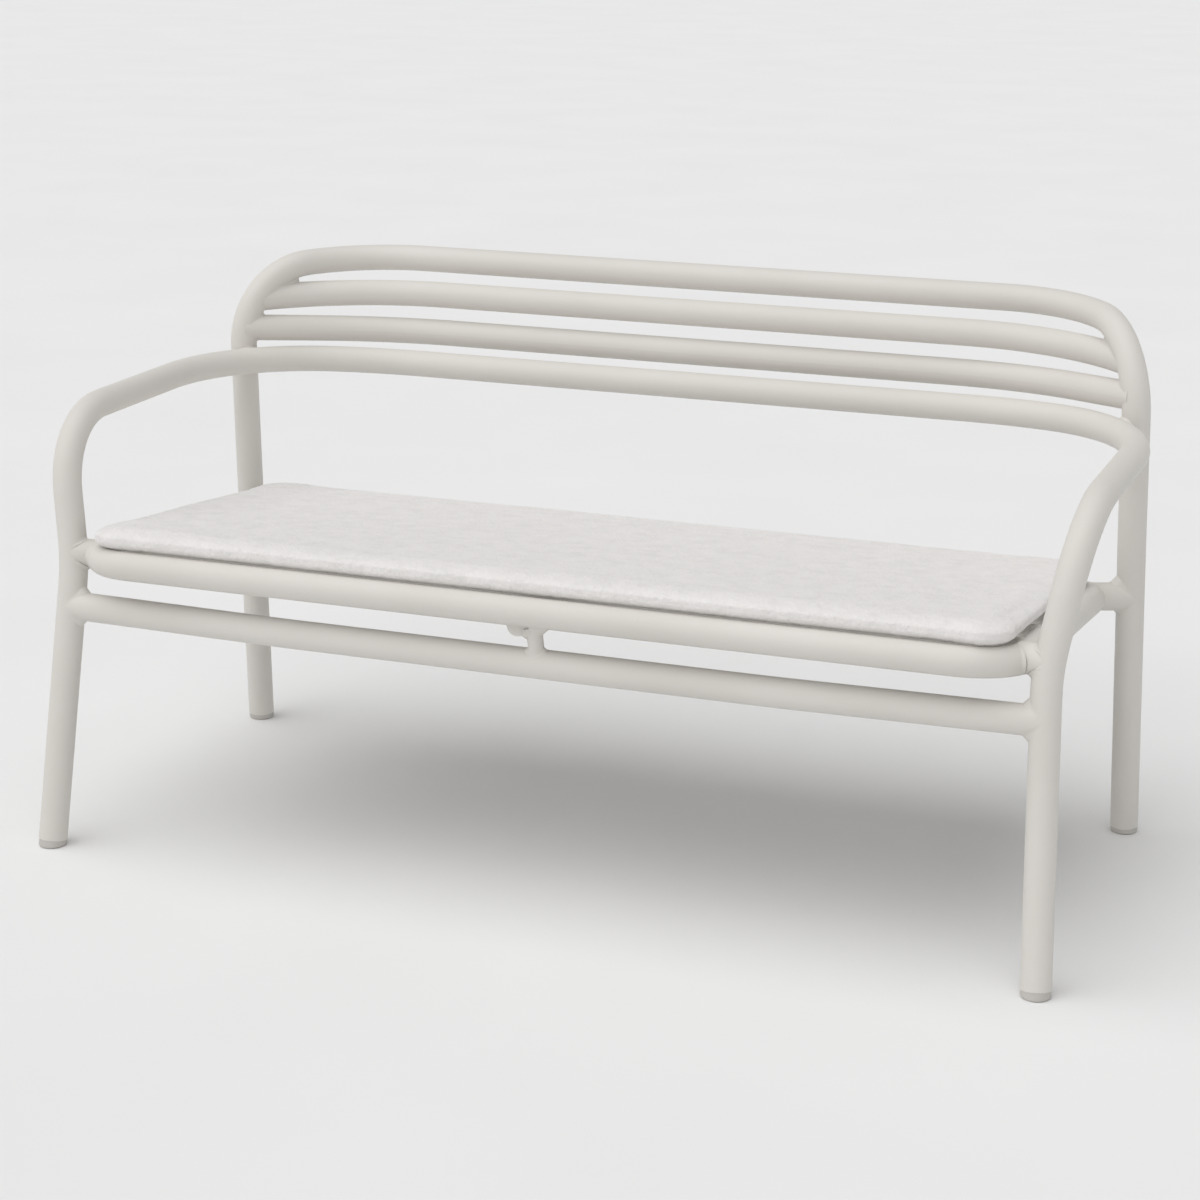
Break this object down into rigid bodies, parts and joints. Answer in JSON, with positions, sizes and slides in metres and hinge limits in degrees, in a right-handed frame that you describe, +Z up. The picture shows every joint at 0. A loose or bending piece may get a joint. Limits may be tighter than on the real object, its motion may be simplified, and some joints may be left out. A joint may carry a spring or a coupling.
{
  "type": "garden bench",
  "caption": "Powder-coated round-tube garden bench with bowed back rails, armrests that run on into the front legs, a raked seat and a loose fleece seat pad.",
  "frame": {"origin": "middle of the bench's footprint, on the ground under the centre of its bounding box", "axes": "+X along the length to the right as seen from the front, +Y towards the back, +Z up"},
  "size_m": [1.3974, 0.7426, 0.7207],
  "materials": {
    "powder_coat": "satin",
    "foot_plastic": "matt",
    "fleece": "soft pile",
    "foam": "open-cell foam"
  },
  "bodies": {
    "frame": {"back_frame": "powder_coat", "arm_frame": "powder_coat", "back_rail_upper": "powder_coat", "back_rail_lower": "powder_coat", "seat_ring": "powder_coat", "seat_tube_1": "powder_coat", "seat_tube_2": "powder_coat", "seat_tube_3": "powder_coat", "seat_tube_4": "powder_coat", "seat_tube_5": "powder_coat", "seat_crossbar": "powder_coat", "front_stretcher": "powder_coat", "centre_post": "powder_coat", "ring_stub_front_left": "powder_coat", "ring_stub_front_right": "powder_coat", "ring_stub_rear_left": "powder_coat", "ring_stub_rear_right": "powder_coat", "foot_glide_front_left": "foot_plastic", "foot_glide_front_right": "foot_plastic", "foot_glide_rear_left": "foot_plastic", "foot_glide_rear_right": "foot_plastic"},
    "pad": {"pad_cover": "fleece", "pad_core": "foam"}
  },
  "joints": [
    {"name": "pad_lift", "type": "slide", "parent": "frame", "child": "pad", "axis": [0, 0, 1], "range_m": [0, 0.3]}
  ]
}
